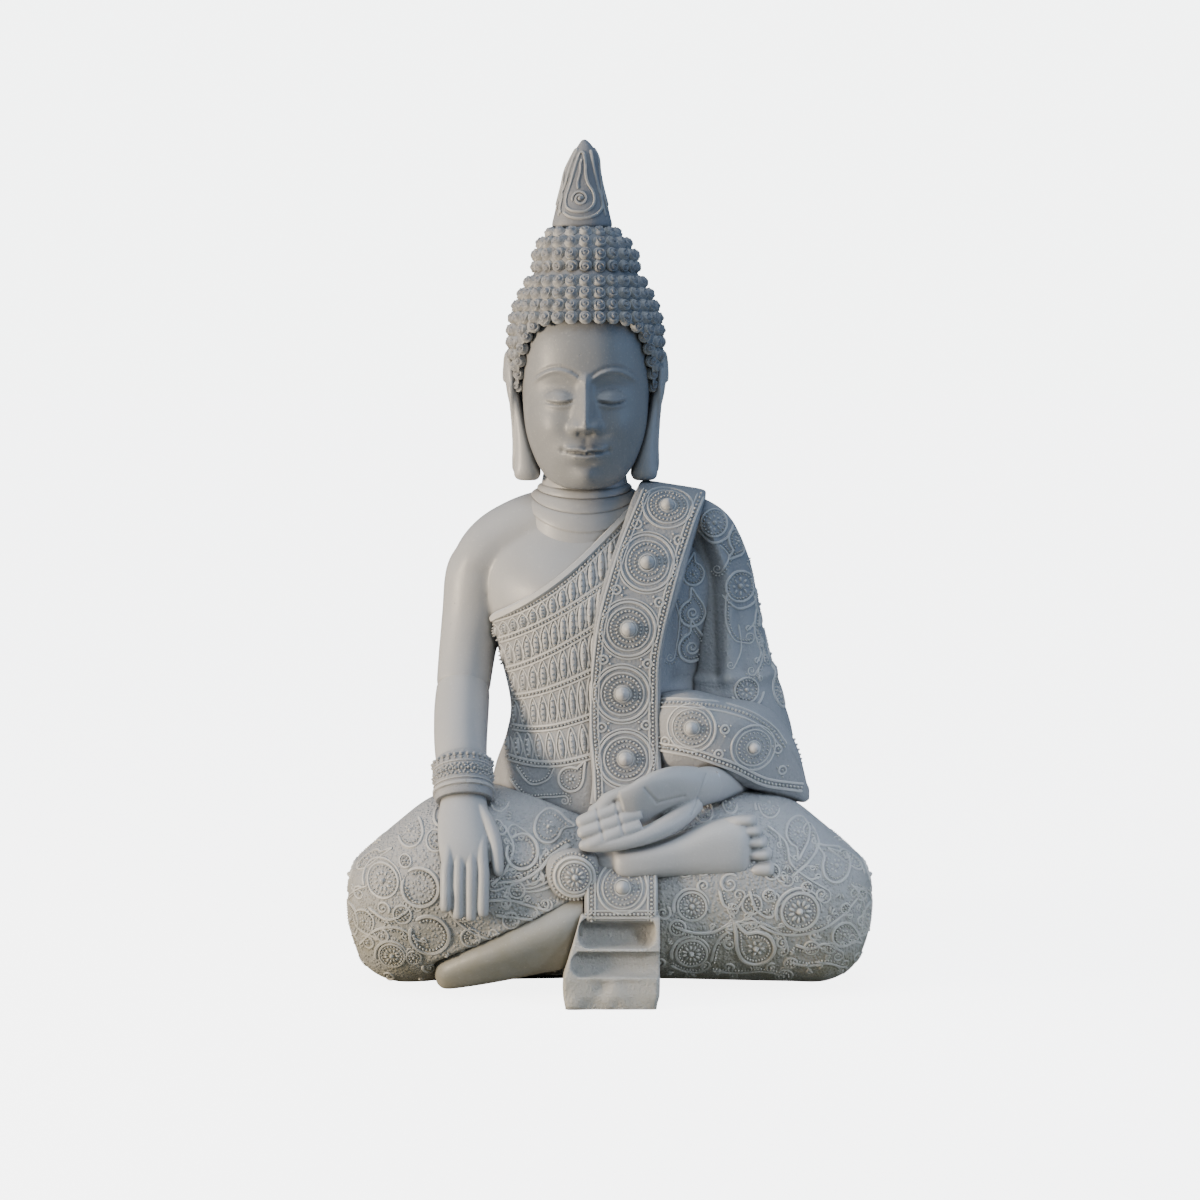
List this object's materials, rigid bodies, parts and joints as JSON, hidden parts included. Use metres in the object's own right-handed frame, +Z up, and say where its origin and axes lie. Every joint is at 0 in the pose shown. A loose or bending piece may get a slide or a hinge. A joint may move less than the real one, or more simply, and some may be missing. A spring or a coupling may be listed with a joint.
{
  "type": "seated buddha statue",
  "caption": "Seated garden statue of a Buddha in pale grey cast stone, one hand over the knee, with a beaded robe, curled hair, a flame finial and a small stepped block in front.",
  "frame": {"origin": "middle of the footprint, on the ground", "axes": "+Z up, the figure faces -Y, and its own right hand is at -X"},
  "size_m": [0.436, 0.29, 0.7],
  "materials": {
    "bare": "pale grey painted cast stone, rubbed smooth, satin",
    "hair": "grey painted cast stone in tight curls, matt in the hollows",
    "robe": "pale grey painted cast stone with raised beadwork, stippled ground",
    "weathered_robe": "grey painted cast stone with raised scrolls, dirt and olive weathering low down",
    "block": "rough hewn cast stone, weathered",
    "dowel": "plain drawn steel"
  },
  "bodies": {
    "root": {"head": "bare", "ear_right": "bare", "ear_left": "bare", "neck": "bare", "torso": "bare", "upper_arm_right": "bare", "forearm_right": "bare", "bracelet": "bare", "hand_right": "bare", "forearm_left": "bare", "hand_left": "bare", "foot_right": "bare", "foot_left": "bare", "hair_cap": "hair", "ushnisha": "hair", "flame_finial": "hair", "chest_wrap": "robe", "shoulder_sash": "robe", "sleeve_left": "robe", "sleeve_hem": "robe", "sash_tail": "robe", "robe_roll": "robe", "seat": "weathered_robe", "leg_right": "weathered_robe", "leg_left": "weathered_robe", "step_block": "block", "finial_pin": "dowel", "crown_pin": "dowel", "neck_pin": "dowel", "shoulder_pin": "dowel", "elbow_pin": "dowel", "wrist_pin_right": "dowel", "wrist_pin_left": "dowel", "waist_pin_right": "dowel", "waist_pin_left": "dowel", "knee_pin_right": "dowel", "knee_pin_left": "dowel", "block_pin_right": "dowel", "block_pin_left": "dowel"}
  },
  "joints": []
}
